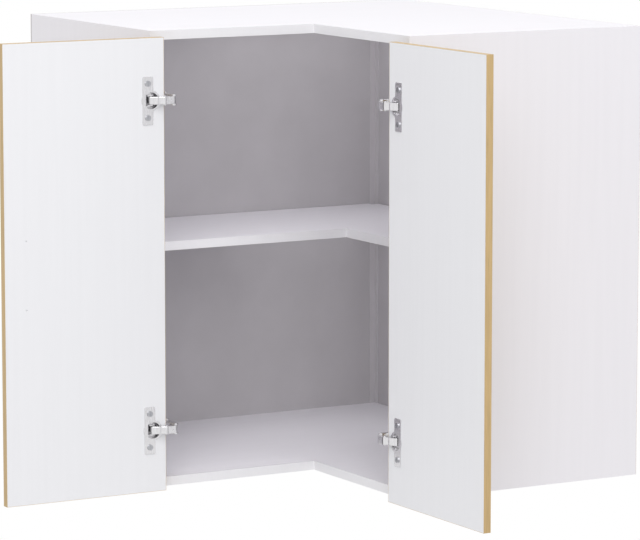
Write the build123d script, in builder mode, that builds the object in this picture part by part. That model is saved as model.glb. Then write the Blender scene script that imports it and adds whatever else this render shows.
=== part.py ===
"""Corner wall cabinet: an L-shaped two-leg carcass with one shelf and two doors.

The origin is the bottom of the room corner: the walls are the planes y = 0 and x = 0,
and the cabinet lies at negative x and y.  The left leg runs along the wall y = 0 and the
right leg along the wall x = 0.  Both doors stand fully open, swung round by 180 degrees.
All sizes are in millimetres.
"""
from build123d import *
from math import atan2, degrees, hypot, sqrt
import os

os.makedirs("parts", exist_ok=True)

# ---------------------------------------------------------------- carcass
wall_length = 650.0  # along each wall
cabinet_height = 650.0
leg_depth = 386.0  # from the wall to the open front
board = 13.0
edge_band = 0.8  # white edging on the front edges
back_sheet = 3.0
right_back_setback = 52.0  # void behind the right leg's back sheet
groove_depth = 5.0
groove_clearance = 0.1
rail_height = 80.0
batten_width = 60.0
strip_leg = 10.0
strip_thickness = 1.5

# ---------------------------------------------------------------- shelf
shelf_underside = 318.5
shelf_setback = 130.0  # behind the open front
shelf_gap = 1.0
strip_notch = 3.0  # extra room round the corner strip

# ---------------------------------------------------------------- doors
door_thickness = 11.0
door_top_reveal = 7.0  # from the door's top up to the cabinet's top
door_band = 0.4  # oak edging
door_inset = 1.5  # closed: hinge edge inboard of the cabinet's side
door_gap = 2.0  # closed: inner face to carcass front
door_corner_clearance = 1.0  # closed: free edge past the other door's face
open_overlap = 6.0  # open: hinge edge inboard of the cabinet's side
open_standoff = 28.6  # open: inner face in front of the carcass
pilot_spacing = 96.0
pilot_from_edge = 33.0
pilot_radius = 1.2
pilot_depth = 1.5

# ---------------------------------------------------------------- hinges
hinge_from_door_end = 88.0
cup_from_edge = 21.0
cup_radius = 13.0
cup_depth = 8.5
cup_wall = 1.0
cup_lip = 1.5
cup_mouth_lip = 0.3  # of the flange, round the cup's mouth
cup_cover_setback = 8.0  # of the cup's covered far part, from the cup's centre
flange_from_edge = 25.75
flange_width = 16.5
flange_length = 67.5
flange_thickness = 1.0
flange_corner_radius = 2.0
cup_screw_spacing = 48.0
cup_pin_depth = 1.0  # below the door's inner face
lug_thickness = 1.5
lug_half_width = 4.0  # across the door
lug_top_depth = 2.0
link_side_room = 0.5  # beside the link, in the cup
cup_notch_depth = 1.2  # of the rim's notch for the link
base_link_length = 32.32
swing_link_length = 35.23
arm_pivot_inboard = 9.3  # from the side panel's inner face
arm_pivot_depth = 0.5  # behind the carcass front
elbow_from_edge = 13.0
elbow_height = 4.2
swing_link_width = 5.4
swing_link_height = 11.0
link_rise = 10.9  # of the link's front face, in front of the open door's face
link_front_start = 2.0  # of the front face, inboard of the side's outer face
link_front_end = 17.3
link_front_corner = 1.5  # radius of the front face's ends
link_rim_radius = 0.8
link_gap_place = 3.6
link_gap_width = 1.9
link_gap_depth = 2.2
link_dimple_place = 11.5
link_dimple_radius = 1.2
link_dimple_depth = 1.0
link_rivet_place = 3.6
link_rivet_depth = 3.6  # of its axis, behind the front face
link_rivet_radius = 1.2
link_rivet_head_radius = 1.8
link_rivet_head = 1.3
base_link_width = 7.6
base_cheek = 1.5
base_web = 0.8
base_web_end_gap = 4.0
link_clearance = 0.3
arm_cheek = 1.2
arm_front = 10.0  # behind the carcass front
arm_rear = 58.0
arm_tail_rise = 4.0
arm_rise = 10.1
arm_bend = 26.0
plate_thickness = 3.0
plate_front = 18.0
plate_rear = 60.0
wing_setback = 37.0
wing_width = 12.0
wing_corner_radius = 4.0
wing_span = 52.0
wing_screw_spacing = 32.0
clamp_screw_setback = 50.0
adjust_screw_setback = 28.0
pin_radius = 1.5
rivet_head_radius = 2.4
rivet_head = 0.6

# ---------------------------------------------------------------- fasteners
fit = 0.05  # radial clearance of every pin and screw
screw_radius = 1.7
screw_length = 8.0
screw_head_radius = 3.4
cup_screw_head_radius = 4.2
screw_head = 1.6
panel_screw_length = 13.0
machine_screw_radius = 2.4
recess_width = 0.9
recess_depth = 0.8
recess_margin = 1.2  # from the recess to the head's rim
dowel_radius = 3.0
dowel_in_side = 8.0
dowel_in_board = 20.0
dowel_front = 60.0  # from the carcass front
dowel_rear = 60.0  # from the wall
rail_dowel_margin = 20.0  # from the rail's upper and lower edges
bolt_front = 100.0
bolt_rear = 100.0
bolt_thread_radius = 2.5
bolt_shank_radius = 1.75
bolt_head_radius = 2.75
bolt_head = 3.0
cam_radius = 6.0
cam_height = 9.5
cam_recess_length = 6.0
cam_slot_room = 0.25  # round the bolt's head
cam_from_end = 24.0
end_clearance = 0.2  # beyond the end of a blind fastener
nail_radius = 0.7
nail_length = 18.0
nail_head_radius = 1.8
nail_head = 0.5
nails_per_edge = 5
nail_end_distance = 60.0
nail_far_distance = 120.0  # last nail along the wall, from the room corner
shelf_pin_radius = 2.5
shelf_pin_in_side = 8.0
shelf_pin_reach = 9.0
shelf_pin_collar_radius = 4.0
shelf_pin_collar = 0.8
shelf_pin_rear = 90.0
shelf_pin_front = 210.0
shelf_pin_batten = 33.0

# ---------------------------------------------------------------- wall fixing
bracket_leg = 40.0
bracket_height = 60.0
bracket_thickness = 2.0
bracket_below_top = 22.0
bracket_screw_spacing = 30.0
bracket_hole_setback = 24.0  # from the wall side of each leg's bend
wall_screw_radius = 3.5
wall_screw_spacing = 36.0
wall_screw_access = 2.0  # extra radius of the holes in the back sheets
rail_hole_spacing = 480.0
rail_access_radius = 9.0

# ---------------------------------------------------------------- derived places
front_width = wall_length - leg_depth
inside_low = board
inside_high = cabinet_height - board
side_face = -wall_length + board  # inner face of the left side panel, in x
front = -leg_depth
back_face = -back_sheet  # front of the left back sheet, in y
right_back_rear = -right_back_setback
right_back_face = right_back_rear - back_sheet
door_width = front_width - door_inset - door_gap - door_thickness - door_corner_clearance
door_height = cabinet_height - door_top_reveal
hinge_heights = {"lower": hinge_from_door_end, "upper": door_height - hinge_from_door_end}
corner_mirror = Plane(origin=(0, 0, 0), z_dir=(1, -1, 0))  # turns left pieces into right ones
rail_height_centre = inside_high - rail_height / 2
rail_hole_centre = -wall_length / 2 - back_sheet / 2
bracket_top = inside_high - bracket_below_top
bracket_middle = bracket_top - bracket_height / 2
shelf_pin_height = shelf_underside - shelf_pin_radius

# Hinge points, as (inboard of the left side, behind the front)
arm_pivot = (board + arm_pivot_inboard, arm_pivot_depth)
cup_pin = (open_overlap - cup_from_edge, -open_standoff + cup_pin_depth)
elbow = (open_overlap - elbow_from_edge, -open_standoff - elbow_height)
link_front = -open_standoff - link_rise
link_rivet = (link_rivet_place, link_front + link_rivet_depth)


def knee_point():
    """Where the two links meet in front of the carcass, from their lengths."""
    across = (cup_pin[0] - arm_pivot[0], cup_pin[1] - arm_pivot[1])
    distance = hypot(*across)
    along = (across[0] / distance, across[1] / distance)
    reach = (base_link_length**2 - swing_link_length**2 + distance**2) / (2 * distance)
    offset = sqrt(base_link_length**2 - reach**2)
    return (
        arm_pivot[0] + reach * along[0] - offset * along[1],
        arm_pivot[1] + reach * along[1] + offset * along[0],
    )


knee = knee_point()


# ---------------------------------------------------------------- helpers
def save(builder, name):
    """Labels a finished piece and writes its file."""
    builder.part.label = name
    export_step(builder.part, f"parts/{name}.step")


def save_mirrored(builder, name):
    """Writes the right-hand twin of a left-hand piece."""
    with BuildPart() as twin:
        mirror(builder.part, about=corner_mirror)
    save(twin, name)


def block(low, high, mode=Mode.ADD):
    """A box between two opposite corners."""
    with Locations(low):
        Box(*(top - bottom for bottom, top in zip(low, high)), align=(Align.MIN,) * 3, mode=mode)


def rod(start, direction, radius, length, mode=Mode.ADD):
    """A cylinder that starts at a point and runs along a direction."""
    with Locations(Plane(origin=start, z_dir=direction)):
        Cylinder(radius, length, align=(Align.CENTER, Align.CENTER, Align.MIN), mode=mode)


def pan_screw(seat, outward, head_radius, head_height, shank_radius, shank_length):
    """A screw whose head rests on the seat point, with a cross recess in the head."""
    inward = tuple(-value for value in outward)
    rod(seat, outward, head_radius, head_height)
    rod(seat, inward, shank_radius, shank_length)
    head_top = Plane(origin=seat, z_dir=outward).offset(head_height)
    recess_length = 2 * (head_radius - recess_margin)
    with Locations(head_top):
        Box(recess_length, recess_width, 2 * recess_depth, mode=Mode.SUBTRACT)
        Box(recess_width, recess_length, 2 * recess_depth, mode=Mode.SUBTRACT)


def hinge_plane(height):
    """A horizontal plane with its origin at the front of the left side's outer face."""
    return Plane(origin=(-wall_length, front, height))


def hinge_place(inboard, behind, height):
    """A point given from the front of the left side's outer face."""
    return (-wall_length + inboard, front + behind, height)


def ell_outline(left_end, right_end, front_line, left_back, right_back):
    """The outline of an L-shaped board, with its inner corner at the front line."""
    Polygon(
        (left_end, front_line),
        (front_line, front_line),
        (front_line, right_end),
        (right_back, right_end),
        (right_back, left_back),
        (left_end, left_back),
        align=None,
    )


def spaced(first, last, count):
    """Evenly spaced places from the first to the last."""
    step = (last - first) / (count - 1)
    return [first + step * index for index in range(count)]


# ---------------------------------------------------------------- bores shared by the boards
rail_dowel_heights = (
    inside_high - rail_dowel_margin,
    inside_high - rail_height + rail_dowel_margin,
)
joint_heights = {"bottom": board / 2, "top": cabinet_height - board / 2}
dowel_places = (front + dowel_front, -dowel_rear)
bolt_places = (front + bolt_front, -bolt_rear)


def end_joint_bores():
    """Bores of the dowels and cam bolts of the left side panel's two joints."""
    for height in joint_heights.values():
        for place in dowel_places:
            start = (side_face - dowel_in_side - end_clearance, place, height)
            length = dowel_in_side + dowel_in_board + 2 * end_clearance
            rod(start, (1, 0, 0), dowel_radius + fit, length)
        for place in bolt_places:
            start = (side_face - dowel_in_side - end_clearance, place, height)
            rod(start, (1, 0, 0), bolt_thread_radius + fit, dowel_in_side + end_clearance)
            rod((side_face, place, height), (1, 0, 0), bolt_head_radius + fit, cam_from_end)


def cam_seats():
    """Blind bores of the cams: from below in both horizontal boards."""
    for low in (0.0, inside_high):
        for place in bolt_places:
            centre = (side_face + cam_from_end, place, low)
            rod(centre, (0, 0, 1), cam_radius + fit, cam_height + end_clearance)


def rail_dowel_bores():
    """Bores of the two dowels between the right side panel and the hanging rail."""
    for height in rail_dowel_heights:
        start = (-board / 2, side_face - dowel_in_side - end_clearance, height)
        rod(start, (0, 1, 0), dowel_radius + fit, dowel_in_side + dowel_in_board + 2 * end_clearance)


def nail_places():
    """Nails through the left back sheet, as (x, z)."""
    heights = spaced(nail_end_distance, cabinet_height - nail_end_distance, nails_per_edge)
    along = spaced(side_face + nail_end_distance, -nail_far_distance, nails_per_edge)
    places = [(-wall_length + board / 2, height) for height in heights]
    places += [(x, height) for x in along for height in joint_heights.values()]
    places += [(right_back_rear + board / 2, height) for height in heights]
    places += [(-board / 2, rail_height_centre)]
    return places


with BuildPart() as fitting_bores:
    end_joint_bores()
    cam_seats()
    mirror(about=corner_mirror)
    rail_dowel_bores()

with BuildPart() as nail_bores:
    for x, z in nail_places():
        rod((x, 0, z), (0, -1, 0), nail_radius + fit, nail_length + end_clearance)
        rod((x, 0, z), (0, -1, 0), nail_head_radius + fit, nail_head)

with BuildPart() as side_bores:
    for height in hinge_heights.values():
        for offset in (-wing_screw_spacing / 2, wing_screw_spacing / 2):
            seat = hinge_place(board, wing_setback, height + offset)
            rod(seat, (-1, 0, 0), screw_radius + fit, panel_screw_length - plate_thickness + end_clearance)
    for place in (-shelf_pin_rear, -shelf_pin_front):
        seat = (side_face, place, shelf_pin_height)
        rod(seat, (-1, 0, 0), shelf_pin_radius + fit, shelf_pin_in_side + end_clearance)


# ---------------------------------------------------------------- carcass
with BuildPart() as left_side_panel:
    block((-wall_length, front + edge_band, 0), (side_face, back_face, cabinet_height))
    add(fitting_bores.part, mode=Mode.SUBTRACT)
    add(nail_bores.part, mode=Mode.SUBTRACT)
    add(side_bores.part, mode=Mode.SUBTRACT)
    for offset in (-bracket_screw_spacing / 2, bracket_screw_spacing / 2):
        seat = (side_face, back_face - bracket_hole_setback, bracket_middle + offset)
        rod(seat, (-1, 0, 0), screw_radius + fit, screw_length + end_clearance, mode=Mode.SUBTRACT)
save(left_side_panel, "left_side_panel")

groove_low = inside_low - groove_depth
groove_high = inside_high + groove_depth
groove_rear = right_back_rear + groove_clearance
groove_front = right_back_face - groove_clearance

with BuildPart() as right_side_panel:
    block((front + edge_band, -wall_length, 0), (0, side_face, cabinet_height))
    add(fitting_bores.part, mode=Mode.SUBTRACT)
    add(mirror(side_bores.part, about=corner_mirror, mode=Mode.PRIVATE), mode=Mode.SUBTRACT)
    block(
        (groove_front, side_face - groove_depth, groove_low),
        (groove_rear, side_face, groove_high),
        mode=Mode.SUBTRACT,
    )
save(right_side_panel, "right_side_panel")


def horizontal_board(low, groove_from, groove_to):
    """An L-shaped board between the side panels, with the right back sheet's groove."""
    with BuildPart() as ell:
        with BuildSketch(Plane.XY.offset(low)):
            ell_outline(side_face, side_face, front + edge_band, back_face, 0)
        extrude(amount=board)
        add(fitting_bores.part, mode=Mode.SUBTRACT)
        add(nail_bores.part, mode=Mode.SUBTRACT)
        block(
            (groove_front, side_face, groove_from),
            (groove_rear, back_face, groove_to),
            mode=Mode.SUBTRACT,
        )
    return ell


save(horizontal_board(0, groove_low, inside_low), "bottom_panel")
save(horizontal_board(inside_high, inside_high, groove_high), "top_panel")


def ell_band(low, left_end, front_line):
    """White edging along the front of an L-shaped board."""
    with BuildPart() as band:
        block((left_end, front_line, low), (front_line + edge_band, front_line + edge_band, low + board))
        block((front_line, left_end, low), (front_line + edge_band, front_line, low + board))
    return band


save(ell_band(0, side_face, front), "bottom_edge_band")
save(ell_band(inside_high, side_face, front), "top_edge_band")

with BuildPart() as left_side_band:
    block((-wall_length, front, 0), (side_face, front + edge_band, cabinet_height))
save(left_side_band, "left_side_edge_band")
save_mirrored(left_side_band, "right_side_edge_band")

with BuildPart() as left_back:
    block((-wall_length, back_face, 0), (0, 0, cabinet_height))
    add(nail_bores.part, mode=Mode.SUBTRACT)
    for offset in (-wall_screw_spacing / 2, wall_screw_spacing / 2):
        place = (side_face + bracket_hole_setback, back_face, bracket_middle + offset)
        rod(place, (0, 1, 0), wall_screw_radius + wall_screw_access, back_sheet, mode=Mode.SUBTRACT)
save(left_back, "left_back_sheet")

with BuildPart() as right_back:
    block(
        (right_back_face, side_face - groove_depth + end_clearance, groove_low + end_clearance),
        (right_back_rear, back_face, groove_high - end_clearance),
    )
    for offset in (-rail_hole_spacing / 2, rail_hole_spacing / 2):
        place = (right_back_face, rail_hole_centre + offset, rail_height_centre)
        rod(place, (1, 0, 0), rail_access_radius, back_sheet, mode=Mode.SUBTRACT)
    place = (right_back_face, -shelf_pin_batten, shelf_pin_height)
    rod(place, (1, 0, 0), shelf_pin_radius + fit, back_sheet, mode=Mode.SUBTRACT)
save(right_back, "right_back_sheet")

with BuildPart() as corner_batten:
    block(
        (right_back_rear, back_face - batten_width, inside_low),
        (right_back_rear + board, back_face, inside_high),
    )
    add(nail_bores.part, mode=Mode.SUBTRACT)
    place = (right_back_rear, -shelf_pin_batten, shelf_pin_height)
    rod(place, (1, 0, 0), shelf_pin_radius + fit, shelf_pin_in_side + end_clearance, mode=Mode.SUBTRACT)
save(corner_batten, "rear_corner_batten")

with BuildPart() as corner_strip:
    block(
        (right_back_face - strip_leg, back_face - strip_thickness, inside_low),
        (right_back_face, back_face, inside_high),
    )
    block(
        (right_back_face - strip_thickness, back_face - strip_leg, inside_low),
        (right_back_face, back_face - strip_thickness, inside_high),
    )
save(corner_strip, "rear_corner_strip")

with BuildPart() as hanging_rail:
    block((-board, side_face, inside_high - rail_height), (0, back_face, inside_high))
    add(fitting_bores.part, mode=Mode.SUBTRACT)
    add(nail_bores.part, mode=Mode.SUBTRACT)
    for offset in (-rail_hole_spacing / 2, rail_hole_spacing / 2):
        place = (-board, rail_hole_centre + offset, rail_height_centre)
        rod(place, (1, 0, 0), wall_screw_radius, board, mode=Mode.SUBTRACT)
save(hanging_rail, "right_hanging_rail")

# ---------------------------------------------------------------- shelf
shelf_front = front + shelf_setback
shelf_end = side_face + shelf_gap
with BuildPart() as shelf:
    with BuildSketch(Plane.XY.offset(shelf_underside)):
        ell_outline(
            shelf_end,
            shelf_end,
            shelf_front + edge_band,
            back_face - shelf_gap,
            right_back_face - shelf_gap,
        )
    extrude(amount=board)
    notch = strip_leg + strip_notch
    block(
        (right_back_face - notch, back_face - notch, shelf_underside),
        (0, 0, shelf_underside + board),
        mode=Mode.SUBTRACT,
    )
save(shelf, "shelf")
save(ell_band(shelf_underside, shelf_end, shelf_front), "shelf_edge_band")

with BuildPart() as shelf_pins:
    for place in (-shelf_pin_rear, -shelf_pin_front):
        start = (side_face - shelf_pin_in_side, place, shelf_pin_height)
        rod(start, (1, 0, 0), shelf_pin_radius, shelf_pin_in_side + shelf_pin_reach)
        rod((side_face, place, shelf_pin_height), (1, 0, 0), shelf_pin_collar_radius, shelf_pin_collar)
    mirror(about=corner_mirror)
    start = (right_back_rear + shelf_pin_in_side, -shelf_pin_batten, shelf_pin_height)
    reach = shelf_pin_in_side + back_sheet + shelf_pin_reach
    rod(start, (-1, 0, 0), shelf_pin_radius, reach)
    collar_start = (right_back_face, -shelf_pin_batten, shelf_pin_height)
    rod(collar_start, (-1, 0, 0), shelf_pin_collar_radius, shelf_pin_collar)
save(shelf_pins, "shelf_pins")

# ---------------------------------------------------------------- carcass fasteners
with BuildPart() as dowels:
    for height in joint_heights.values():
        for place in dowel_places:
            start = (side_face - dowel_in_side, place, height)
            rod(start, (1, 0, 0), dowel_radius, dowel_in_side + dowel_in_board)
    mirror(about=corner_mirror)
    for height in rail_dowel_heights:
        start = (-board / 2, side_face - dowel_in_side, height)
        rod(start, (0, 1, 0), dowel_radius, dowel_in_side + dowel_in_board)
save(dowels, "dowels")

with BuildPart() as cam_bolts:
    for height in joint_heights.values():
        for place in bolt_places:
            head_start = cam_from_end - bolt_head
            rod((side_face - dowel_in_side, place, height), (1, 0, 0), bolt_thread_radius, dowel_in_side)
            rod((side_face, place, height), (1, 0, 0), bolt_shank_radius, head_start)
            rod((side_face + head_start, place, height), (1, 0, 0), bolt_head_radius, bolt_head)
    mirror(about=corner_mirror)
save(cam_bolts, "cam_bolts")

cam_slot = bolt_head_radius + cam_slot_room
with BuildPart() as cams:
    for low, axis_height in ((0.0, joint_heights["bottom"]), (inside_high, joint_heights["top"])):
        for place in bolt_places:
            centre = side_face + cam_from_end
            rod((centre, place, low), (0, 0, 1), cam_radius, cam_height)
            block(
                (centre - cam_radius, place - cam_slot, axis_height - cam_slot),
                (centre + end_clearance, place + cam_slot, low + cam_height),
                mode=Mode.SUBTRACT,
            )
            with Locations((centre, place, low)):
                Box(cam_recess_length, recess_width, 2 * recess_depth, mode=Mode.SUBTRACT)
                Box(recess_width, cam_recess_length, 2 * recess_depth, mode=Mode.SUBTRACT)
    mirror(about=corner_mirror)
save(cams, "cams")

with BuildPart() as back_nails:
    for x, z in nail_places():
        rod((x, -nail_head, z), (0, -1, 0), nail_radius, nail_length - nail_head)
        rod((x, 0, z), (0, -1, 0), nail_head_radius, nail_head)
save(back_nails, "back_nails")

# ---------------------------------------------------------------- wall bracket of the left leg
with BuildPart() as wall_bracket:
    block(
        (side_face, back_face - bracket_leg, bracket_top - bracket_height),
        (side_face + bracket_thickness, back_face, bracket_top),
    )
    block(
        (side_face, back_face - bracket_thickness, bracket_top - bracket_height),
        (side_face + bracket_leg, back_face, bracket_top),
    )
    for offset in (-bracket_screw_spacing / 2, bracket_screw_spacing / 2):
        place = (side_face, back_face - bracket_hole_setback, bracket_middle + offset)
        rod(place, (1, 0, 0), screw_radius + fit, bracket_thickness, mode=Mode.SUBTRACT)
    for offset in (-wall_screw_spacing / 2, wall_screw_spacing / 2):
        place = (side_face + bracket_hole_setback, back_face, bracket_middle + offset)
        rod(place, (0, -1, 0), wall_screw_radius, bracket_thickness, mode=Mode.SUBTRACT)
save(wall_bracket, "left_wall_bracket")

with BuildPart() as bracket_screws:
    for offset in (-bracket_screw_spacing / 2, bracket_screw_spacing / 2):
        seat = (
            side_face + bracket_thickness,
            back_face - bracket_hole_setback,
            bracket_middle + offset,
        )
        pan_screw(seat, (1, 0, 0), screw_head_radius, screw_head, screw_radius, screw_length)
save(bracket_screws, "left_bracket_screws")

# ---------------------------------------------------------------- doors
door_hinge_edge = -wall_length + open_overlap
door_free_edge = door_hinge_edge - door_width
door_inner = front - open_standoff
door_outer = door_inner + door_thickness


def cup_place(across, above, height):
    """A point from the cup's centre on the door's inner face: across the door, off its face."""
    return (door_hinge_edge - cup_from_edge + across, door_inner - above, height)


def door_slab(with_pilot_holes):
    """The white board of the left door, with the bores of its two hinge cups."""
    with BuildPart() as slab:
        block(
            (door_free_edge + door_band, door_inner, door_band),
            (door_hinge_edge - door_band, door_outer, door_height - door_band),
        )
        for height in hinge_heights.values():
            rod(cup_place(0, 0, height), (0, 1, 0), cup_radius + fit, cup_depth + fit, mode=Mode.SUBTRACT)
            for offset in (-cup_screw_spacing / 2, cup_screw_spacing / 2):
                seat = cup_place(cup_from_edge - flange_from_edge, 0, height + offset)
                rod(seat, (0, 1, 0), screw_radius + fit, screw_length, mode=Mode.SUBTRACT)
        if with_pilot_holes:
            for offset in (-pilot_spacing / 2, pilot_spacing / 2):
                place = (door_free_edge + pilot_from_edge, door_inner, door_height / 2 + offset)
                rod(place, (0, 1, 0), pilot_radius, pilot_depth, mode=Mode.SUBTRACT)
    return slab


save(door_slab(with_pilot_holes=True), "left_door_slab")
save_mirrored(door_slab(with_pilot_holes=False), "right_door_slab")

with BuildPart() as long_bands:
    for low_x in (door_free_edge, door_hinge_edge - door_band):
        block((low_x, door_inner, 0), (low_x + door_band, door_outer, door_height))
save(long_bands, "left_door_long_edge_bands")
save_mirrored(long_bands, "right_door_long_edge_bands")

with BuildPart() as short_bands:
    for low_z in (0, door_height - door_band):
        block(
            (door_free_edge + door_band, door_inner, low_z),
            (door_hinge_edge - door_band, door_outer, low_z + door_band),
        )
save(short_bands, "left_door_short_edge_bands")
save_mirrored(short_bands, "right_door_short_edge_bands")


# ---------------------------------------------------------------- hinge pieces of the left door
def link_outline(points, width):
    """Round-ended bars that join the points one after another."""
    for start, end in zip(points, points[1:]):
        middle = ((start[0] + end[0]) / 2, (start[1] + end[1]) / 2)
        length = hypot(end[0] - start[0], end[1] - start[1])
        turn = degrees(atan2(end[1] - start[1], end[0] - start[0]))
        with Locations(middle):
            SlotCenterToCenter(length, width, rotation=turn)


def hinge_cup(height):
    """The cup in the door with its lip, its screw flange and the lugs beside the link."""
    lug_inner = swing_link_height / 2 + link_side_room
    mouth = cup_radius - cup_wall
    flange_plane = Plane(origin=cup_place(0, 0, height), x_dir=(1, 0, 0), z_dir=(0, -1, 0))
    with BuildPart() as cup:
        rod(cup_place(0, 0, height), (0, 1, 0), cup_radius, cup_depth)
        with BuildSketch(flange_plane):
            with Locations((cup_from_edge - flange_from_edge, 0)):
                RectangleRounded(flange_width, flange_length, flange_corner_radius)
            Circle(cup_radius + cup_lip)
        extrude(amount=flange_thickness)
        rod(cup_place(0, 0, height), (0, 1, 0), mouth, cup_depth - cup_wall, mode=Mode.SUBTRACT)
        with BuildSketch(flange_plane):
            Circle(mouth - cup_mouth_lip)
            with Locations((-cup_cover_setback, 0)):
                Rectangle(mouth, 2 * mouth, align=(Align.MAX, Align.CENTER), mode=Mode.SUBTRACT)
        extrude(amount=flange_thickness, mode=Mode.SUBTRACT)
        block(
            cup_place(0, flange_thickness, height - lug_inner),
            cup_place(cup_radius + cup_lip, -cup_notch_depth, height + lug_inner),
            mode=Mode.SUBTRACT,
        )
        for side in (-1, 1):
            low, high = sorted((side * lug_inner, side * (lug_inner + lug_thickness)))
            block(
                cup_place(-lug_half_width, -lug_top_depth, height + low),
                cup_place(lug_half_width, -cup_depth + cup_wall, height + high),
            )
        for offset in (-cup_screw_spacing / 2, cup_screw_spacing / 2):
            seat = cup_place(cup_from_edge - flange_from_edge, flange_thickness, height + offset)
            rod(seat, (0, 1, 0), screw_radius + fit, flange_thickness, mode=Mode.SUBTRACT)
    return cup


def swing_link(height):
    """The link that rises out of the cup and reaches past the door's edge."""
    middle = hinge_plane(height)
    with BuildPart() as link:
        with BuildSketch(middle.offset(-swing_link_height / 2)):
            link_outline((knee, elbow, cup_pin), swing_link_width)
            with BuildSketch(mode=Mode.PRIVATE) as front_body:
                Polygon(
                    (elbow[0] - swing_link_width / 2, elbow[1]),
                    (link_front_start, link_front),
                    (link_front_end, link_front),
                    (knee[0] + swing_link_width / 2, knee[1]),
                    align=None,
                )
                corners = front_body.vertices().group_by(Axis.Y)[0]
                fillet(corners, link_front_corner)
            add(front_body.sketch)
        extrude(amount=swing_link_height)
        rims = link.faces().filter_by(Axis.Z)
        fillet([edge for face in rims for edge in face.outer_wire().edges()], link_rim_radius)
        with Locations(middle):
            with Locations((link_gap_place, link_front)):
                Box(link_gap_width, 2 * link_gap_depth, swing_link_height, mode=Mode.SUBTRACT)
        dimple = hinge_place(link_dimple_place, link_front, height)
        rod(dimple, (0, 1, 0), link_dimple_radius, link_dimple_depth, mode=Mode.SUBTRACT)
        for place in (knee, cup_pin):
            start = hinge_place(*place, height - swing_link_height / 2)
            rod(start, (0, 0, 1), pin_radius + fit, swing_link_height, mode=Mode.SUBTRACT)
        start = hinge_place(*link_rivet, height - swing_link_height / 2)
        rod(start, (0, 0, 1), link_rivet_radius + fit, swing_link_height, mode=Mode.SUBTRACT)
    return link


base_inner = swing_link_height / 2 + link_clearance
base_outer = base_inner + base_cheek
arm_inner = base_outer + link_clearance
arm_outer = arm_inner + arm_cheek


def base_link(height):
    """The forked link from the fixed arm to the knee: two cheeks joined by a web."""
    length = hypot(knee[0] - arm_pivot[0], knee[1] - arm_pivot[1])
    along = ((knee[0] - arm_pivot[0]) / length, (knee[1] - arm_pivot[1]) / length)
    aside = base_link_width / 2 - base_web / 2
    web_points = [
        (
            arm_pivot[0] + distance * along[0] - aside * along[1],
            arm_pivot[1] + distance * along[1] + aside * along[0],
        )
        for distance in (base_web_end_gap, length - base_web_end_gap)
    ]
    with BuildPart() as link:
        for low in (-base_outer, base_inner):
            with BuildSketch(hinge_plane(height + low)):
                link_outline((arm_pivot, knee), base_link_width)
                with Locations(arm_pivot, knee):
                    Circle(pin_radius + fit, mode=Mode.SUBTRACT)
            extrude(amount=base_cheek)
        with BuildSketch(hinge_plane(height - base_inner)):
            link_outline(web_points, base_web)
        extrude(amount=2 * base_inner)
    return link


def fixed_arm(height):
    """The channel on the side panel that carries the base link between its cheeks."""
    base = board + plate_thickness
    tip = base_link_width / 2
    with BuildPart() as arm:
        for low in (-arm_outer, arm_inner):
            with BuildSketch(hinge_plane(height + low)):
                Polygon(
                    (arm_pivot[0] - tip, arm_pivot[1]),
                    (arm_pivot[0] + tip, arm_pivot[1]),
                    (base + arm_rise, arm_bend),
                    (base + arm_tail_rise, arm_rear),
                    (base, arm_rear),
                    (base, arm_front),
                    align=None,
                )
                with Locations(arm_pivot):
                    Circle(tip)
                    Circle(pin_radius + fit, mode=Mode.SUBTRACT)
            extrude(amount=arm_cheek)
        block(
            hinge_place(base, arm_front, height - arm_inner),
            hinge_place(base + arm_cheek, arm_rear, height + arm_inner),
        )
        for setback in (adjust_screw_setback, clamp_screw_setback):
            start = hinge_place(base, setback, height)
            rod(start, (1, 0, 0), machine_screw_radius + fit, arm_cheek, mode=Mode.SUBTRACT)
    return arm


def mounting_plate(height):
    """The winged plate screwed to the side panel under the fixed arm."""
    with BuildPart() as plate:
        block(
            hinge_place(board, plate_front, height - arm_outer),
            hinge_place(board + plate_thickness, plate_rear, height + arm_outer),
        )
        block(
            hinge_place(board, wing_setback - wing_width / 2, height - wing_span / 2),
            hinge_place(board + plate_thickness, wing_setback + wing_width / 2, height + wing_span / 2),
        )
        wing_edges = plate.edges().filter_by(Axis.X).group_by(Axis.Z)
        fillet(wing_edges[0] + wing_edges[-1], wing_corner_radius)
        for offset in (-wing_screw_spacing / 2, wing_screw_spacing / 2):
            place = hinge_place(board, wing_setback, height + offset)
            rod(place, (1, 0, 0), screw_radius + fit, plate_thickness, mode=Mode.SUBTRACT)
        for setback in (adjust_screw_setback, clamp_screw_setback):
            place = hinge_place(board, setback, height)
            rod(place, (1, 0, 0), machine_screw_radius + fit, plate_thickness, mode=Mode.SUBTRACT)
    return plate


hinge_makers = {
    "hinge_cup": hinge_cup,
    "hinge_swing_link": swing_link,
    "hinge_base_link": base_link,
    "hinge_arm": fixed_arm,
    "hinge_plate": mounting_plate,
}
for level, hinge_height in hinge_heights.items():
    for piece_name, make_piece in hinge_makers.items():
        piece = make_piece(hinge_height)
        save(piece, f"left_{level}_{piece_name}")
        save_mirrored(piece, f"right_{level}_{piece_name}")

# ---------------------------------------------------------------- hinge fasteners
with BuildPart() as cup_screws:
    for height in hinge_heights.values():
        for offset in (-cup_screw_spacing / 2, cup_screw_spacing / 2):
            seat = cup_place(cup_from_edge - flange_from_edge, flange_thickness, height + offset)
            pan_screw(seat, (0, -1, 0), cup_screw_head_radius, screw_head, screw_radius, screw_length)
save(cup_screws, "left_cup_screws")
save_mirrored(cup_screws, "right_cup_screws")

with BuildPart() as cup_pins:
    for height in hinge_heights.values():
        start = hinge_place(*cup_pin, height - swing_link_height / 2)
        rod(start, (0, 0, 1), pin_radius, swing_link_height)
save(cup_pins, "left_cup_pins")
save_mirrored(cup_pins, "right_cup_pins")

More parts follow.
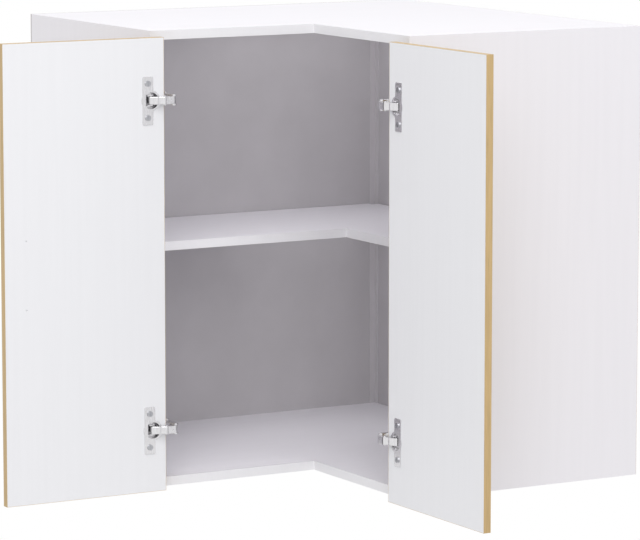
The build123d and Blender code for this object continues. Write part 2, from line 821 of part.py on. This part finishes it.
with BuildPart() as knee_pins:
    for height in hinge_heights.values():
        rod(hinge_place(*knee, height - base_outer), (0, 0, 1), pin_radius, 2 * base_outer)
        for start, direction in ((base_outer, 1), (-base_outer, -1)):
            rod(hinge_place(*knee, height + start), (0, 0, direction), rivet_head_radius, rivet_head)
save(knee_pins, "left_knee_pins")
save_mirrored(knee_pins, "right_knee_pins")

with BuildPart() as link_rivets:
    for height in hinge_heights.values():
        half = swing_link_height / 2
        rod(hinge_place(*link_rivet, height - half), (0, 0, 1), link_rivet_radius, 2 * half)
        for side in (-1, 1):
            head = hinge_place(*link_rivet, height + side * half)
            rod(head, (0, 0, side), link_rivet_head_radius, link_rivet_head)
save(link_rivets, "left_link_rivets")
save_mirrored(link_rivets, "right_link_rivets")

with BuildPart() as arm_pins:
    for height in hinge_heights.values():
        for side in (-1, 1):
            start = hinge_place(*arm_pivot, height + side * base_inner)
            rod(start, (0, 0, side), pin_radius, arm_outer - base_inner)
            head = hinge_place(*arm_pivot, height + side * arm_outer)
            rod(head, (0, 0, side), rivet_head_radius, rivet_head)
    mirror(about=corner_mirror)
save(arm_pins, "hinge_arm_pins")

with BuildPart() as plate_screws:
    for height in hinge_heights.values():
        for offset in (-wing_screw_spacing / 2, wing_screw_spacing / 2):
            seat = hinge_place(board + plate_thickness, wing_setback, height + offset)
            pan_screw(seat, (1, 0, 0), screw_head_radius, screw_head, screw_radius, panel_screw_length)
    mirror(about=corner_mirror)
save(plate_screws, "hinge_plate_screws")

with BuildPart() as arm_screws:
    for height in hinge_heights.values():
        for setback in (adjust_screw_setback, clamp_screw_setback):
            seat = hinge_place(board + plate_thickness + arm_cheek, setback, height)
            shank = arm_cheek + plate_thickness - end_clearance
            pan_screw(seat, (1, 0, 0), screw_head_radius, screw_head, machine_screw_radius, shank)
    mirror(about=corner_mirror)
save(arm_screws, "hinge_arm_screws")
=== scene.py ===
"""Looks of an L-shaped corner wall cabinet whose two doors are folded fully back.

The cabinet's pieces keep the shapes of the fixed frame.  This file gives each of them the
finish that such a cabinet has, and sets up a plain studio around it.  The units are metres
and +Z is up.
"""
import math

import bmesh
import bpy
from bpy.props import FloatProperty, FloatVectorProperty, PointerProperty
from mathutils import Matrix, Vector


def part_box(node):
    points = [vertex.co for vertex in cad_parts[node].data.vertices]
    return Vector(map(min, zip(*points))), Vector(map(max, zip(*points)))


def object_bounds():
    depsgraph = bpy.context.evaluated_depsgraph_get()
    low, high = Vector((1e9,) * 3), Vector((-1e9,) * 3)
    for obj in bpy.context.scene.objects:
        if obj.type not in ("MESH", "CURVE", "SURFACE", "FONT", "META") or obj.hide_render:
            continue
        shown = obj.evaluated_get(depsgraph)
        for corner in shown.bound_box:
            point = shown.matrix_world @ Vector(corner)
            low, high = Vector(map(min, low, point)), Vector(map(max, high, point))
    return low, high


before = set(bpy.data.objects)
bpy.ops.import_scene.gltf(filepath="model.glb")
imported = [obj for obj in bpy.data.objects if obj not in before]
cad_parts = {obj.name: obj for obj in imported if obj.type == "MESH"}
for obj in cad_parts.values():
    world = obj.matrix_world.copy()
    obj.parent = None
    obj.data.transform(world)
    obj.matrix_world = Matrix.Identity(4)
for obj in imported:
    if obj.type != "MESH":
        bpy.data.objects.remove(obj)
CAD_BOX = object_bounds()

bl_info = {
    "name": "Corner wall cabinet",
    "version": (1, 0, 0),
    "blender": (4, 5, 0),
    "location": "3D View > Sidebar > Cabinet",
    "description": "Dresses an L-shaped corner wall cabinet and sets up its studio",
    "category": "Object",
}

MM = 0.001
SKIN = 0.3 * MM  # how far a face's finish may reach into the board

FLOOR_RADIUS = 4.0
FLOOR_WHITE_FROM = 1.0  # from the floor's middle: here it begins to pale
FLOOR_WHITE_AT = 3.6  # and here it is white
FLOOR_SEGMENTS = 96
FLOOR_ROUGHNESS = 0.8
WHITE = (1.0, 1.0, 1.0, 1.0)

SENSOR_WIDTH = 36.0  # of the camera, in millimetres
CLIP_START = 0.1  # the nearest and the farthest that the camera sees
CLIP_END = 100.0

RESIN_IOR = 1.5  # of resin film, lacquer and wood
PLASTIC_IOR = 1.53  # of ABS and PVC

NOISE_SPAN = (0.3, 0.7)  # holds nearly all of a noise's values

# The lowest and the highest roughness, or the one that holds all over.
MELAMINE_ROUGHNESS = (0.38, 0.5)
SHEET_ROUGHNESS = (0.55, 0.85)  # of the lacquered face, and of the bare one
OAK_ROUGHNESS = 0.42
BEECH_ROUGHNESS = 0.65

# The strength of each relief, and its depth in metres.
MELAMINE_RELIEF = (0.12, 0.06 * MM)
PLASTIC_RELIEF = (0.08, 0.03 * MM)
OAK_RELIEF = (0.15, 0.05 * MM)
SHEET_RELIEF = (0.1, 0.05 * MM)
PLATING_RELIEF = (0.12, 0.03 * MM)

# How many times as long as wide each kind of spot is.
PORE_STRETCH = 14
PEEL_STRETCH = 20
MARK_STRETCH = 9
FLAME_STRETCH = 9
FLECK_STRETCH = 2

PEEL_MM = 0.8  # width of a spot of the plastic's orange peel

# The oak print's broad bands, and the flames that a door's outer face has besides.
BAND_WIDTH = 8  # in spacings of the fine lines
BAND_LENGTH = 5  # in lengths of the fine lines
BAND_SHARE = 0.35  # of the bands in the print's tone
FLAME_STEP = 0.045  # of the noise's range, from a dark line to the next pale one
FLAME_SHARE = 0.45  # of the flames in the outer face's tone

SIDES = ("left", "right")
LEVELS = ("lower", "upper")


# ---------------------------------------------------------------- colours and nodes
def linear(hex_colour):
    """Linear RGBA of an sRGB colour that is written as six hex digits."""
    values = [int(hex_colour[start : start + 2], 16) / 255 for start in (0, 2, 4)]
    curve = [v / 12.92 if v <= 0.04045 else ((v + 0.055) / 1.055) ** 2.4 for v in values]
    return (*curve, 1.0)


def colour_property(name, description, hex_colour):
    """A colour that a user can change, from its sRGB hex value."""
    return FloatVectorProperty(
        name=name,
        description=description,
        subtype="COLOR",
        size=4,
        min=0.0,
        max=1.0,
        default=linear(hex_colour),
    )


def length_property(name, description, millimetres):
    """A length that a user can change, kept in millimetres."""
    return FloatProperty(
        name=name, description=f"{description}, in millimetres", default=millimetres, min=0.001
    )


def set_inputs(tree, node, inputs):
    """Sets a node's inputs: a socket is linked, and any other value is written there."""
    for key, value in inputs.items():
        if isinstance(value, bpy.types.NodeSocket):
            tree.links.new(value, node.inputs[key])
        else:
            node.inputs[key].default_value = value


def add_node(tree, kind, inputs=None, **settings):
    """Adds a node: settings are its own properties, inputs are values or sockets to link."""
    made = tree.nodes.new(kind)
    for key, value in settings.items():
        setattr(made, key, value)
    set_inputs(tree, made, inputs or {})
    return made


def empty_material(name):
    """A material with only its surface shader and its output."""
    material = bpy.data.materials.new(name)
    material.use_nodes = True
    tree = material.node_tree
    tree.nodes.clear()
    shader = add_node(tree, "ShaderNodeBsdfPrincipled")
    add_node(tree, "ShaderNodeOutputMaterial", {"Surface": shader.outputs["BSDF"]})
    return material, tree, shader


def ramp(tree, factor, stops):
    """Colours along a factor, from pairs of a place and a colour."""
    made = add_node(tree, "ShaderNodeValToRGB", {"Fac": factor})
    elements = made.color_ramp.elements
    while len(elements) < len(stops):
        elements.new(0.5)
    for element, (place, colour) in zip(elements, stops):
        element.position = place
        element.color = colour
    return made.outputs["Color"]


def shade(colour, factor):
    """The same colour, lighter or darker."""
    return (*(min(1.0, max(0.0, channel * factor)) for channel in colour[:3]), 1.0)


def object_place(tree):
    """The surface's place in the object, in metres."""
    return add_node(tree, "ShaderNodeTexCoord").outputs["Object"]


def stretched(tree, along, across_mm, along_mm):
    """Object coordinates scaled so that a noise of scale 1 has spots of these sizes."""
    scale = [1 / (across_mm * MM)] * 3
    scale["XYZ".index(along)] = 1 / (along_mm * MM)
    return add_node(
        tree, "ShaderNodeMapping", {"Vector": object_place(tree), "Scale": scale}
    ).outputs["Vector"]


def noise(tree, place, **inputs):
    """A noise over coordinates, between zero and one."""
    inputs = {"Vector": place, "Scale": 1.0, **inputs}
    return add_node(tree, "ShaderNodeTexNoise", inputs).outputs["Fac"]


def calculated(tree, operation, first, second):
    """The result of a calculation with two numbers, each a value or a socket."""
    inputs = {0: first, 1: second}
    return add_node(tree, "ShaderNodeMath", inputs, operation=operation).outputs["Value"]


def mapped(tree, value, target, source=(0.0, 1.0), **settings):
    """A value brought from one range into another."""
    inputs = {
        "Value": value,
        "From Min": source[0],
        "From Max": source[1],
        "To Min": target[0],
        "To Max": target[1],
    }
    return add_node(tree, "ShaderNodeMapRange", inputs, **settings).outputs["Result"]


def relief(tree, height, strength, depth):
    """A normal that follows a shallow relief."""
    inputs = {"Height": height, "Strength": strength, "Distance": depth}
    return add_node(tree, "ShaderNodeBump", inputs).outputs["Normal"]


def beyond(tree, axis, reach):
    """One where the surface lies beyond a plane across the axis, and zero before it."""
    parts = add_node(tree, "ShaderNodeSeparateXYZ", {"Vector": object_place(tree)}).outputs
    return calculated(tree, "GREATER_THAN", parts[axis], reach)


def mixed(tree, factor, first, second):
    """The first colour where the factor is zero, and the second where it is one."""
    return add_node(
        tree, "ShaderNodeMix", {"Factor": factor, 6: first, 7: second}, data_type="RGBA"
    ).outputs[2]


# ---------------------------------------------------------------- settings
class CabinetColours(bpy.types.PropertyGroup):
    """Colours of the cabinet's finishes."""

    melamine: colour_property("Melamine", "White facing of the boards", "EDEBF0")
    door_melamine: colour_property("Door facing", "White facing inside the doors", "EBEBEE")
    white_edging: colour_property("White edging", "Edging of the boards", "EDECEF")
    oak: colour_property("Oak edging", "Edging of the doors", "C4A776")
    back_sheet: colour_property("Back sheet", "Lacquered face of the back sheets", "C4C1C4")
    corner_strip: colour_property("Corner strip", "Plastic strip in the rear corner", "CFCCCF")
    raw_fibre: colour_property("Raw board", "Bare fibre and chips", "A98A63")
    nickel: colour_property("Nickel", "Plated hinge pieces", "E0DFE1")
    zinc: colour_property("Zinc", "Plated screws, nails and bolts", "BDBEC2")
    casting: colour_property("Zinc casting", "Cams of the board joints", "A6A7AA")
    beech: colour_property("Beech", "Dowels", "D2AE7E")
    floor: colour_property("Floor", "Studio floor", "E6E6E6")


class CabinetGrain(bpy.types.PropertyGroup):
    """Real sizes of the patterns on the cabinet's surfaces."""

    melamine_streak: length_property("Streak width", "Width of a tonal streak in the facing", 9.0)
    melamine_length: length_property("Streak length", "Length of such a streak", 260.0)
    melamine_pore: length_property("Pressed pore", "Width of a pressed pore", 1.4)
    oak_line: length_property("Oak line", "Spacing of the oak grain lines", 1.6)
    oak_length: length_property("Oak line length", "Length of an oak grain line", 45.0)
    oak_figure: length_property("Oak figure", "Width of a flame in the oak print", 90.0)
    chip: length_property("Chip", "Size of a chip in a bare board edge", 2.6)
    sheet_mottle: length_property("Sheet mottle", "Size of the cloudy tone of the back", 70.0)
    sheet_skin: length_property("Sheet skin", "Size of the fine texture of the back", 1.6)
    plating_line: length_property("Plating line", "Spacing of the press marks on metal", 1.2)
    beech_fleck: length_property("Beech fleck", "Length of a beech fleck", 2.4)


class StudioSettings(bpy.types.PropertyGroup):
    """The camera and the lamps."""

    camera_place: FloatVectorProperty(
        name="Camera", description="Place of the camera", subtype="TRANSLATION",
        unit="LENGTH", default=(-3.1076, -5.126, 1.0526),
    )
    camera_heading: FloatProperty(
        name="Heading", description="Heading of the camera from +Y towards +X",
        subtype="ANGLE", default=math.radians(29.955),
    )
    camera_pitch: FloatProperty(
        name="Pitch", description="How far the camera looks down",
        subtype="ANGLE", default=math.radians(7.904),
    )
    lens: FloatProperty(name="Lens", description="Focal length, in millimetres", default=214.48)
    floor_drop: FloatProperty(
        name="Floor drop", description="Height of the cabinet's underside above the floor",
        unit="LENGTH", default=1.4, min=0.0,
    )
    lamp_strength: FloatProperty(name="Lamps", description="Strength of all lamps", default=1.0)
    world_strength: FloatProperty(name="Surroundings", description="Light all round", default=0.76)


# Each lamp's name, its place, the point that it is aimed at, its width and height, all in
# metres, and its power in watts.  The small ones stand inside the cabinet and light its
# backs, shelf and bottom, which the large ones outside hardly reach.
LAMPS = (
    ("front_lamp", (-2.39, -3.82, 2.58), (-0.44, -0.44, 0.32), 2.0, 2.0, 38.0),
    ("raised_lamp", (-1.64, -2.51, 4.14), (-0.44, -0.44, 0.32), 2.0, 2.0, 52.0),
    ("overhead_lamp", (-0.44, -0.44, 3.32), (-0.44, -0.44, 0.32), 2.5, 2.5, 7.0),
    ("left_opening_lamp", (-0.51, -0.38, 0.325), (-0.51, 0.0, 0.325), 0.24, 0.62, 0.11),
    ("low_corner_lamp", (-0.14, -0.3, 0.16), (-0.14, 0.0, 0.16), 0.1, 0.22, 0.03),
    ("lamp_under_top", (-0.22, -0.2, 0.632), (-0.22, -0.2, 0.0), 0.33, 0.33, 0.3),
    ("lamp_over_left_shelf", (-0.5, -0.15, 0.632), (-0.5, -0.15, 0.0), 0.2, 0.2, 0.05),
    ("lamp_under_shelf", (-0.2, -0.14, 0.316), (-0.2, -0.14, 0.0), 0.22, 0.22, 0.1),
)


# ---------------------------------------------------------------- finishes
def melamine(name, colour, grain, along):
    """Melamine-faced board: paper pressed with resin to a hard satin film."""
    # A clear resin film over paper: nearly white, satin, IOR of resin, with faint tonal
    # streaks along the board.  The pores are pressed in and drawn coarser than real.
    material, tree, shader = empty_material(name)
    place = stretched(tree, along, grain.melamine_streak, grain.melamine_length)
    streaks = noise(tree, place, Detail=4.0, Roughness=0.55)
    tone = ramp(tree, streaks, ((0.3, shade(colour, 0.99)), (0.7, shade(colour, 1.006))))
    place = stretched(tree, along, grain.melamine_pore, PORE_STRETCH * grain.melamine_pore)
    pores = noise(tree, place, Detail=3.0)
    set_inputs(tree, shader, {
        "Base Color": tone,
        "Roughness": mapped(tree, pores, MELAMINE_ROUGHNESS, NOISE_SPAN),
        "Normal": relief(tree, pores, *MELAMINE_RELIEF),
        "IOR": RESIN_IOR,
    })
    return material, tree, shader, tone


def bare_edges(tree, shader, facing, raw, grain, reach, axis):
    """Shows bare chipboard where the board ends beyond a plane, as behind the cabinet."""
    # A sawn, unedged chipboard edge: warm brown chips of a few millimetres.
    cells = add_node(
        tree, "ShaderNodeTexVoronoi",
        {"Vector": object_place(tree), "Scale": 1 / (grain.chip * MM)},
    ).outputs["Color"]
    level = add_node(tree, "ShaderNodeSeparateColor", {"Color": cells}).outputs["Red"]
    chips = ramp(tree, level, ((0.0, shade(raw, 0.6)), (0.5, raw), (1.0, shade(raw, 1.45))))
    tone = mixed(tree, beyond(tree, axis, reach), facing, chips)
    set_inputs(tree, shader, {"Base Color": tone})


def smooth_plastic(name, colour, roughness):
    """Extruded plastic edging or strip: even colour, satin, with a faint orange peel."""
    # ABS or PVC: a dielectric that is glossier than melamine.
    material, tree, shader = empty_material(name)
    peel = noise(tree, stretched(tree, "Z", PEEL_MM, PEEL_STRETCH * PEEL_MM), Detail=2.0)
    tone = ramp(tree, peel, ((0.25, shade(colour, 0.985)), (0.75, shade(colour, 1.008))))
    set_inputs(tree, shader, {
        "Base Color": tone,
        "Roughness": roughness,
        "Normal": relief(tree, peel, *PLASTIC_RELIEF),
        "IOR": PLASTIC_IOR,
    })
    return material


def oak_print(tree, colour, grain, along):
    """The tone of printed oak, from broad bands and fine lines, and those lines alone."""
    lines = noise(
        tree, stretched(tree, along, grain.oak_line, grain.oak_length), Detail=5.0, Roughness=0.6
    )
    place = stretched(tree, along, BAND_WIDTH * grain.oak_line, BAND_LENGTH * grain.oak_length)
    bands = noise(tree, place, Detail=2.0)
    fine = ramp(
        tree, lines,
        ((0.32, shade(colour, 0.78)), (0.48, colour), (0.72, shade(colour, 1.14))),
    )
    broad = ramp(tree, bands, ((0.35, shade(colour, 0.88)), (0.65, shade(colour, 1.1))))
    return mixed(tree, BAND_SHARE, fine, broad), lines


def oak_edging(name, colour, grain, along):
    """Oak-printed edging: light, yellowish oak with fine darker lines along its length."""
    # A lacquered print of oak: satin, with its pores pressed in.
    material, tree, shader = empty_material(name)
    tone, lines = oak_print(tree, colour, grain, along)
    set_inputs(tree, shader, {
        "Base Color": tone,
        "Roughness": OAK_ROUGHNESS,
        "Normal": relief(tree, lines, *OAK_RELIEF),
        "IOR": RESIN_IOR,
    })
    return material


def oak_front(tree, shader, facing, colour, grain, axis, reach):
    """Shows the oak print of a door's outer face, which lies beyond a plane."""
    # The same print as the edging, upright, with the flames of a flat-sawn board.
    place = stretched(tree, "Z", grain.oak_figure, FLAME_STRETCH * grain.oak_figure)
    swirl = noise(tree, place, Detail=1.0, Roughness=0.4)
    rings = calculated(tree, "PINGPONG", swirl, FLAME_STEP)
    level = mapped(tree, rings, (0.0, 1.0), (0.0, FLAME_STEP))
    flames = ramp(tree, level, ((0.05, shade(colour, 0.8)), (0.5, shade(colour, 1.05))))
    plain, _ = oak_print(tree, colour, grain, "Z")
    figured = mixed(tree, FLAME_SHARE, plain, flames)
    tone = mixed(tree, beyond(tree, axis, reach), facing, figured)
    set_inputs(tree, shader, {"Base Color": tone})


def back_hardboard(name, colour, raw, grain, axis, rear_from):
    """Hardboard sheet: one face lacquered light grey, the other bare brown fibre."""
    # Thin lacquer over pressed fibre: matt, slightly cloudy, with a fine skin texture.
    material, tree, shader = empty_material(name)
    place = object_place(tree)
    clouds = noise(tree, place, Scale=1 / (grain.sheet_mottle * MM), Detail=5.0)
    skin = noise(tree, place, Scale=1 / (grain.sheet_skin * MM), Detail=3.0)
    lacquer = ramp(tree, clouds, ((0.3, shade(colour, 0.965)), (0.7, shade(colour, 1.03))))
    fibre = ramp(tree, skin, ((0.3, shade(raw, 0.72)), (0.7, shade(raw, 1.08))))
    rear = beyond(tree, axis, rear_from)
    set_inputs(tree, shader, {
        "Base Color": mixed(tree, rear, lacquer, fibre),
        "Roughness": mapped(tree, rear, SHEET_ROUGHNESS),
        "Normal": relief(tree, skin, *SHEET_RELIEF),
        "IOR": RESIN_IOR,
    })
    return material


def plated_metal(name, colour, grain, roughness):
    """Plated or cast metal: bright, with faint press and polish marks."""
    # Fully metallic.  The marks change its gloss, between the two roughnesses, and its tone.
    material, tree, shader = empty_material(name)
    place = stretched(tree, "Z", grain.plating_line, MARK_STRETCH * grain.plating_line)
    marks = noise(tree, place, Detail=4.0, Roughness=0.6)
    tone = ramp(tree, marks, ((0.3, shade(colour, 0.9)), (0.7, shade(colour, 1.06))))
    set_inputs(tree, shader, {
        "Base Color": tone,
        "Metallic": 1.0,
        "Roughness": mapped(tree, marks, roughness, NOISE_SPAN),
        "Normal": relief(tree, marks, *PLATING_RELIEF),
    })
    return material


def beech_dowel(name, colour, grain):
    """Plain beech: pale, close-grained, with short darker flecks along the rod."""
    # Bare turned wood: matt, warm, flecked.
    material, tree, shader = empty_material(name)
    place = stretched(tree, "X", grain.beech_fleck / FLECK_STRETCH, grain.beech_fleck)
    flecks = noise(tree, place, Detail=3.0)
    tone = ramp(tree, flecks, ((0.35, shade(colour, 0.74)), (0.6, colour)))
    set_inputs(
        tree, shader, {"Base Color": tone, "Roughness": BEECH_ROUGHNESS, "IOR": RESIN_IOR}
    )
    return material


# ---------------------------------------------------------------- helpers of the operators
def dress(names, material):
    """Gives CAD pieces their finish."""
    for name in names:
        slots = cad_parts[name].data.materials
        slots.clear()
        slots.append(material)


def settings(context):
    """The three groups of settings."""
    scene = context.scene
    return scene.cabinet_colours, scene.cabinet_grain, scene.cabinet_studio


# ---------------------------------------------------------------- operators
class CABINET_OT_boards(bpy.types.Operator):
    """Gives the carcass boards and the shelf their white melamine"""

    bl_idname = "cabinet.boards"
    bl_label = "Boards"

    def execute(self, context):
        colours, grain, _ = settings(context)
        white = tuple(colours.melamine)
        raw = tuple(colours.raw_fibre)
        upright, *_ = melamine("melamine_upright", white, grain, "Z")
        dress(("left_side_panel",), upright)
        made, tree, shader, tone = melamine("melamine_end_panel", white, grain, "Z")
        bare_edges(tree, shader, tone, raw, grain, -SKIN, "X")
        dress(("right_side_panel", "rear_corner_batten"), made)
        made, tree, shader, tone = melamine("melamine_level", white, grain, "X")
        bare_edges(tree, shader, tone, raw, grain, -SKIN, "X")
        dress(("bottom_panel", "top_panel"), made)
        level, *_ = melamine("melamine_shelf", white, grain, "X")
        dress(("shelf",), level)
        rail, *_ = melamine("melamine_rail", white, grain, "Y")
        dress(("right_hanging_rail",), rail)
        return {"FINISHED"}


class CABINET_OT_doors(bpy.types.Operator):
    """Gives the two door boards their white inner and oak-printed outer face"""

    bl_idname = "cabinet.doors"
    bl_label = "Doors"

    def execute(self, context):
        colours, grain, _ = settings(context)
        white, oak = tuple(colours.door_melamine), tuple(colours.oak)
        for side, axis in zip(SIDES, "YX"):
            slab = f"{side}_door_slab"
            outer_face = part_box(slab)[1]["XYZ".index(axis)]
            made, tree, shader, facing = melamine(f"melamine_{side}_door", white, grain, "Z")
            oak_front(tree, shader, facing, oak, grain, axis, outer_face - SKIN)
            dress((slab,), made)
        return {"FINISHED"}


class CABINET_OT_edging(bpy.types.Operator):
    """Gives the boards their white edging and the doors their oak edging"""

    bl_idname = "cabinet.edging"
    bl_label = "Edging"

    def execute(self, context):
        colours, grain, _ = settings(context)
        white = smooth_plastic("abs_white_edging", tuple(colours.white_edging), roughness=0.36)
        bands = [f"{side}_side_edge_band" for side in SIDES]
        dress(bands + ["bottom_edge_band", "top_edge_band", "shelf_edge_band"], white)
        oak = tuple(colours.oak)
        upright = oak_edging("oak_edging_upright", oak, grain, "Z")
        dress([f"{side}_door_long_edge_bands" for side in SIDES], upright)
        for side, along in zip(SIDES, "XY"):
            short = oak_edging(f"oak_edging_{side}", oak, grain, along)
            dress([f"{side}_door_short_edge_bands"], short)
        return {"FINISHED"}


class CABINET_OT_backs(bpy.types.Operator):
    """Gives the back sheets and the strip in their corner their finish"""

    bl_idname = "cabinet.backs"
    bl_label = "Backs"

    def execute(self, context):
        colours, grain, _ = settings(context)
        grey = tuple(colours.back_sheet)
        raw = tuple(colours.raw_fibre)
        for side, axis in zip(SIDES, "YX"):
            sheet = f"{side}_back_sheet"
            rear_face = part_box(sheet)[1]["XYZ".index(axis)]
            made = back_hardboard(f"hardboard_{side}", grey, raw, grain, axis, rear_face - SKIN)
            dress((sheet,), made)
        strip = smooth_plastic("pvc_corner_strip", tuple(colours.corner_strip), roughness=0.42)
        dress(("rear_corner_strip",), strip)
        return {"FINISHED"}


class CABINET_OT_hinges(bpy.types.Operator):
    """Gives the hinges their nickel plating"""

    bl_idname = "cabinet.hinges"
    bl_label = "Hinges"

    def execute(self, context):
        colours, grain, _ = settings(context)
        colour = tuple(colours.nickel)
        nickel = plated_metal("nickel_plated_steel", colour, grain, roughness=(0.16, 0.3))
        pieces = ("hinge_cup", "hinge_swing_link", "hinge_base_link", "hinge_arm", "hinge_plate")
        dress(
            [f"{side}_{level}_{piece}" for side in SIDES for level in LEVELS for piece in pieces],
            nickel,
        )
        pins = plated_metal("polished_hinge_pin", colour, grain, roughness=(0.1, 0.2))
        kinds = ("cup_pins", "knee_pins", "link_rivets")
        names = [f"{side}_{pin}" for side in SIDES for pin in kinds]
        dress(names + ["hinge_arm_pins"], pins)
        return {"FINISHED"}


class CABINET_OT_fasteners(bpy.types.Operator):
    """Gives the screws, nails, bolts, cams, dowels and pins their finish"""

    bl_idname = "cabinet.fasteners"
    bl_label = "Fasteners"

    def execute(self, context):
        colours, grain, _ = settings(context)
        zinc = plated_metal("zinc_plated_steel", tuple(colours.zinc), grain, roughness=(0.24, 0.4))
        names = [f"{side}_cup_screws" for side in SIDES]
        names += ["hinge_arm_screws", "hinge_plate_screws", "left_bracket_screws"]
        names += ["left_wall_bracket", "back_nails", "cam_bolts", "shelf_pins"]
        dress(names, zinc)
        grey = tuple(colours.casting)
        dress(("cams",), plated_metal("zinc_die_casting", grey, grain, roughness=(0.4, 0.55)))
        dress(("dowels",), beech_dowel("turned_beech", tuple(colours.beech), grain))
        return {"FINISHED"}


class CABINET_OT_stage(bpy.types.Operator):
    """Sets up the floor, the surroundings, the lamps and the camera"""

    bl_idname = "cabinet.stage"
    bl_label = "Studio"

    def execute(self, context):
        colours, _, studio = settings(context)
        self.floor(colours, studio)
        self.surroundings(studio)
        self.lamps(studio)
        self.camera(studio)
        context.scene.view_settings.view_transform = "Standard"
        return {"FINISHED"}

    def floor(self, colours, studio):
        """A plain pale floor below the hanging cabinet, white where it meets the backdrop."""
        low, high = CAD_BOX
        middle = (low + high) / 2
        shape = bmesh.new()
        bmesh.ops.create_circle(shape, cap_ends=True, segments=FLOOR_SEGMENTS, radius=FLOOR_RADIUS)
        mesh = bpy.data.meshes.new("floor")
        shape.to_mesh(mesh)
        shape.free()
        floor = bpy.data.objects.new("floor", mesh)
        floor.location = (middle.x, middle.y, low.z - studio.floor_drop)
        bpy.context.scene.collection.objects.link(floor)
        # Matt paper: pale and even, and white to the camera towards its rim.
        material, tree, shader = empty_material("matt_paper_floor")
        span = add_node(
            tree, "ShaderNodeVectorMath", {0: object_place(tree)}, operation="LENGTH"
        ).outputs["Value"]
        rim = mapped(
            tree, span, (0.0, 1.0), (FLOOR_WHITE_FROM, FLOOR_WHITE_AT),
            interpolation_type="SMOOTHSTEP",
        )
        seen = add_node(tree, "ShaderNodeLightPath").outputs["Is Camera Ray"]
        factor = calculated(tree, "MULTIPLY", rim, seen)
        pale = {"Roughness": FLOOR_ROUGHNESS, "Base Color": tuple(colours.floor)}
        set_inputs(tree, shader, pale)
        white = add_node(tree, "ShaderNodeEmission", {"Color": WHITE, "Strength": 1.0})
        blend = add_node(
            tree, "ShaderNodeMixShader",
            {0: factor, 1: shader.outputs["BSDF"], 2: white.outputs["Emission"]},
        )
        output = next(n for n in tree.nodes if n.type == "OUTPUT_MATERIAL")
        set_inputs(tree, output, {"Surface": blend.outputs["Shader"]})
        mesh.materials.append(material)

    def surroundings(self, studio):
        """Even pale light all round, plain white to the camera and in metal and glass."""
        world = bpy.data.worlds.new("studio")
        bpy.context.scene.world = world
        world.use_nodes = True
        tree = world.node_tree
        tree.nodes.clear()
        path = add_node(tree, "ShaderNodeLightPath").outputs
        seen = path["Is Camera Ray"]
        for kind in ("Is Glossy Ray", "Is Transmission Ray"):
            seen = calculated(tree, "MAXIMUM", seen, path[kind])
        light, white = (
            add_node(tree, "ShaderNodeBackground", {"Color": WHITE, "Strength": strength})
            for strength in (studio.world_strength, 1.0)
        )
        blend = add_node(
            tree, "ShaderNodeMixShader",
            {0: seen, 1: light.outputs["Background"], 2: white.outputs["Background"]},
        )
        add_node(tree, "ShaderNodeOutputWorld", {"Surface": blend.outputs["Shader"]})

    def lamps(self, studio):
        """Large soft lamps in front and above, and small ones inside the cabinet."""
        for name, place, aim, width, height, watts in LAMPS:
            lamp = bpy.data.lights.new(name, "AREA")
            lamp.shape = "RECTANGLE"
            lamp.size, lamp.size_y = width, height
            lamp.energy = watts * studio.lamp_strength
            holder = bpy.data.objects.new(name, lamp)
            holder.location = place
            ray = Vector(aim) - Vector(place)
            holder.rotation_euler = ray.to_track_quat("-Z", "Y").to_euler()
            holder.visible_camera = False
            bpy.context.scene.collection.objects.link(holder)

    def camera(self, studio):
        """A long lens a few metres away, slightly above the cabinet and looking down."""
        heading, pitch = studio.camera_heading, studio.camera_pitch
        view = Vector((
            math.sin(heading) * math.cos(pitch),
            math.cos(heading) * math.cos(pitch),
            -math.sin(pitch),
        ))
        data = bpy.data.cameras.new("camera")
        data.sensor_width = SENSOR_WIDTH
        data.lens = studio.lens
        data.clip_start = CLIP_START
        data.clip_end = CLIP_END
        holder = bpy.data.objects.new("camera", data)
        holder.location = studio.camera_place
        holder.rotation_euler = view.to_track_quat("-Z", "Y").to_euler()
        bpy.context.scene.collection.objects.link(holder)
        bpy.context.scene.camera = holder


OPERATORS = (
    CABINET_OT_boards,
    CABINET_OT_doors,
    CABINET_OT_edging,
    CABINET_OT_backs,
    CABINET_OT_hinges,
    CABINET_OT_fasteners,
    CABINET_OT_stage,
)


class CABINET_PT_panel(bpy.types.Panel):
    """Lists the steps that dress the cabinet"""

    bl_label = "Corner wall cabinet"
    bl_idname = "CABINET_PT_panel"
    bl_space_type = "VIEW_3D"
    bl_region_type = "UI"
    bl_category = "Cabinet"

    def draw(self, context):
        for group in settings(context):
            for key in group.__annotations__:
                self.layout.prop(group, key)
        for operator in OPERATORS:
            self.layout.operator(operator.bl_idname)


GROUPS = {
    "cabinet_colours": CabinetColours,
    "cabinet_grain": CabinetGrain,
    "cabinet_studio": StudioSettings,
}


def register():
    """Registers the classes and hangs the settings on the scene."""
    for made in (*GROUPS.values(), *OPERATORS, CABINET_PT_panel):
        bpy.utils.register_class(made)
    for name, group in GROUPS.items():
        setattr(bpy.types.Scene, name, PointerProperty(type=group))


def unregister():
    """Takes away what register added."""
    for name in GROUPS:
        delattr(bpy.types.Scene, name)
    for made in (CABINET_PT_panel, *reversed(OPERATORS), *reversed(tuple(GROUPS.values()))):
        bpy.utils.unregister_class(made)


def main():
    """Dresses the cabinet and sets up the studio."""
    register()
    for operator in OPERATORS:
        group, name = operator.bl_idname.split(".")
        getattr(getattr(bpy.ops, group), name)()


if __name__ == "__main__":
    main()
